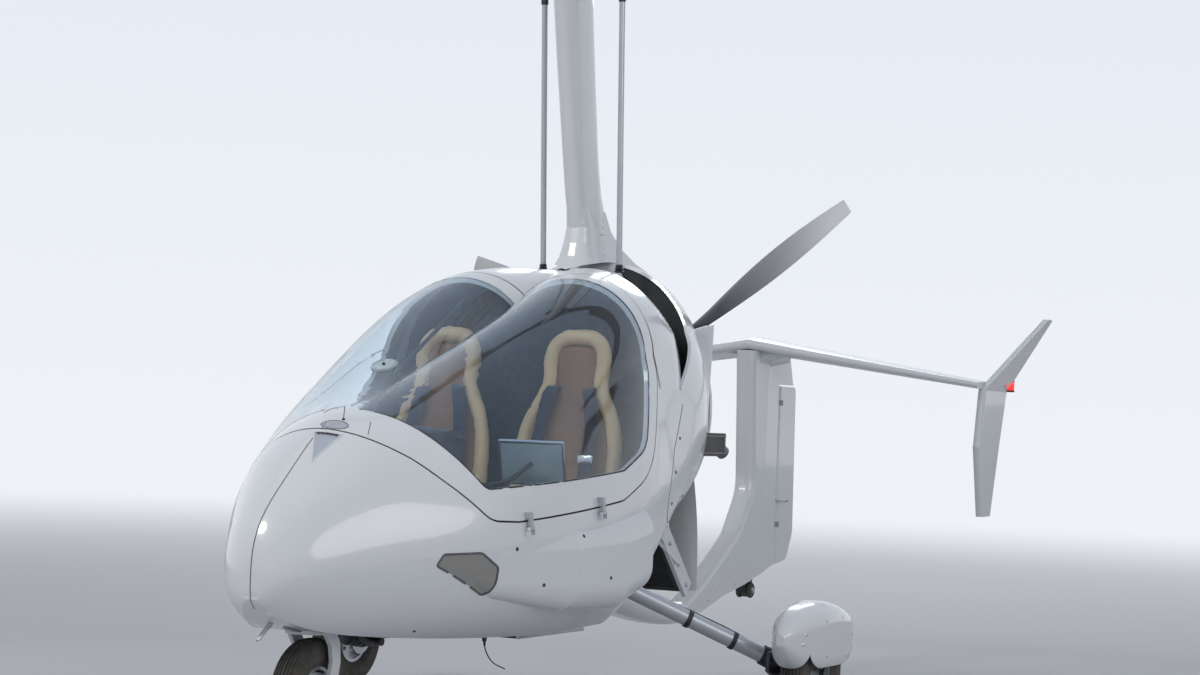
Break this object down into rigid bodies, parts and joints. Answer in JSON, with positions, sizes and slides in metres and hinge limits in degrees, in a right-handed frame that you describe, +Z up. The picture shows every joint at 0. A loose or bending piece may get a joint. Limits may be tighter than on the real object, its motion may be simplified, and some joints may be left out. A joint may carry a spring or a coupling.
{
  "type": "side-by-side enclosed gyrocopter",
  "caption": "Two-seat enclosed gyrocopter: domed canopy, leaning mast with a teetering two-blade rotor, pusher propeller, low tail boom with a triple fin, and three wheels.",
  "frame": {"origin": "on the ground straight below the rotor hub, the rotor parked level and turned 32 degrees from straight across", "axes": "+Z up, +X to the aircraft's left, -Y forward, so that azimuth 0 looks at its nose"},
  "size_m": [7.45, 4.6624, 2.9219],
  "materials": {
    "pearl_white": "gloss",
    "tinted_glass": "gloss",
    "black_moulding": "matte",
    "dark_metal": "satin",
    "silver_tube": "satin",
    "engine_grey": "satin",
    "tyre_black": "matte",
    "seat_cream": "satin",
    "lamp_smoke": "gloss",
    "lamp_red": "gloss",
    "lamp_green": "gloss",
    "blade_white": "gloss"
  },
  "bodies": {
    "airframe": {"air_baffle": "black_moulding", "belly_antenna": "black_moulding", "belly_cooler": "black_moulding", "cabin_bulkhead": "black_moulding", "control_sticks": "black_moulding", "cowl_rear_ring": "pearl_white", "cowl_vent_band": "black_moulding", "engine_block": "engine_grey", "engine_cowl": "pearl_white", "exhaust_box": "dark_metal", "fin": "pearl_white", "firewall": "black_moulding", "fuselage_tub": "pearl_white", "gear_leg_left": "silver_tube", "gear_leg_right": "silver_tube", "head_pushrods": "silver_tube", "instrument_panel": "black_moulding", "landing_light_left": "lamp_smoke", "landing_light_right": "lamp_smoke", "main_axle_left": "dark_metal", "main_axle_right": "dark_metal", "mast_collar": "pearl_white", "mast_fairing": "pearl_white", "nav_light_left": "lamp_red", "nav_light_right": "lamp_green", "nose_gear_mount": "black_moulding", "outer_fin_left": "pearl_white", "outer_fin_right": "pearl_white", "pitot_tube": "silver_tube", "radiator": "black_moulding", "radiator_frame": "pearl_white", "roof_neck": "pearl_white", "rotor_head": "silver_tube", "seat_left": "seat_cream", "seat_right": "seat_cream", "stabilizer": "pearl_white", "tail_boom": "pearl_white", "tail_bumper": "black_moulding", "wheel_fairing_left": "pearl_white", "wheel_fairing_right": "pearl_white"},
    "canopy": {"canopy_frame": "pearl_white", "canopy_glass": "tinted_glass", "canopy_hinges": "dark_metal"},
    "rotor_spindle": {"rotor_tower": "silver_tube"},
    "rotor": {"rotor_hub_bar": "silver_tube", "rotor_blade_left": "blade_white", "rotor_blade_right": "blade_white"},
    "propeller": {"propeller_hub": "dark_metal", "propeller_blades": "blade_white"},
    "rudder": {"rudder": "pearl_white"},
    "nose_steer": {"nose_fork": "pearl_white"},
    "nose_wheel": {"nose_tyre": "tyre_black", "nose_rim": "silver_tube"},
    "main_wheel_left": {"main_tyre_left": "tyre_black", "main_rim_left": "silver_tube"},
    "main_wheel_right": {"main_tyre_right": "tyre_black", "main_rim_right": "silver_tube"}
  },
  "joints": [
    {"name": "canopy_hinge", "type": "hinge", "parent": "airframe", "child": "canopy", "pos_m": [0.552, -1.31, 0.722], "axis": [0.2261, 0.9651, 0.1324], "range_deg": [0, 70]},
    {"name": "rotor_spin", "type": "hinge", "parent": "airframe", "child": "rotor_spindle", "pos_m": [0, 0, 2.82], "axis": [0, 0, 1], "continuous": true},
    {"name": "rotor_teeter", "type": "hinge", "parent": "rotor_spindle", "child": "rotor", "pos_m": [0, 0, 2.902], "axis": [-0.5299, 0.848, 0], "range_deg": [-8, 8]},
    {"name": "propeller_spin", "type": "hinge", "parent": "airframe", "child": "propeller", "pos_m": [0, 0.884, 1.355], "axis": [0, 1, 0], "continuous": true},
    {"name": "rudder_hinge", "type": "hinge", "parent": "airframe", "child": "rudder", "pos_m": [0, 2.078, 0.9], "axis": [0, 0, 1], "range_deg": [-25, 25]},
    {"name": "nose_steering", "type": "hinge", "parent": "airframe", "child": "nose_steer", "pos_m": [0, -1.712, 0.4], "axis": [0, 0, 1], "range_deg": [-30, 30]},
    {"name": "nose_wheel_spin", "type": "hinge", "parent": "nose_steer", "child": "nose_wheel", "pos_m": [0, -1.7, 0.182], "axis": [1, 0, 0], "continuous": true},
    {"name": "main_wheel_left_spin", "type": "hinge", "parent": "airframe", "child": "main_wheel_left", "pos_m": [0.97, 0.105, 0.2], "axis": [1, 0, 0], "continuous": true},
    {"name": "main_wheel_right_spin", "type": "hinge", "parent": "airframe", "child": "main_wheel_right", "pos_m": [-0.97, 0.105, 0.2], "axis": [1, 0, 0], "continuous": true}
  ]
}
